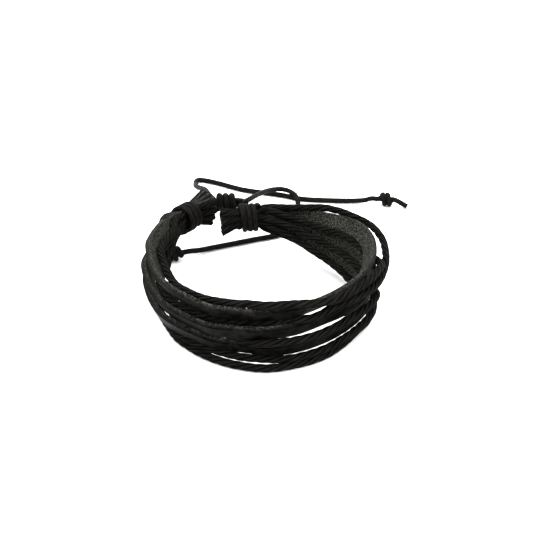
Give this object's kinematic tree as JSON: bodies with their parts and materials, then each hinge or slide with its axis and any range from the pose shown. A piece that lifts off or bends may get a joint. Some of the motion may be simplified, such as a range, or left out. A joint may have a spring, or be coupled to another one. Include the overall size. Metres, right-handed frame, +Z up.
{
  "type": "bracelet",
  "caption": "Adjustable bracelet of flat leather strips and twisted waxed cords, whipped at both ends and closed by draw cords through a sliding knot.",
  "frame": {"origin": "on the surface that the bracelet lies on, below the middle of the loop's box", "axes": "+Z up through the wrist hollow, +Y from the front of the loop towards the bindings and the draw cords, +X to the right"},
  "size_m": [0.0799, 0.1143, 0.0209],
  "materials": {
    "leather": "satin grain outside, matt suede edges",
    "twisted_cord": "waxed, matt sheen",
    "waxed_cord": "waxed, soft sheen"
  },
  "bodies": {
    "root": {"leather_strip_1": "leather", "leather_strip_2": "leather", "leather_strip_3": "leather", "twisted_cord_1": "twisted_cord", "twisted_cord_2": "twisted_cord", "twisted_cord_3": "twisted_cord", "twisted_cord_4": "twisted_cord", "twisted_cord_5": "twisted_cord", "binding_left": "waxed_cord", "binding_right": "waxed_cord", "sliding_knot": "waxed_cord", "draw_cord_left": "waxed_cord", "draw_cord_right": "waxed_cord", "stopper_knot_left": "waxed_cord", "stopper_knot_right": "waxed_cord"}
  },
  "joints": []
}
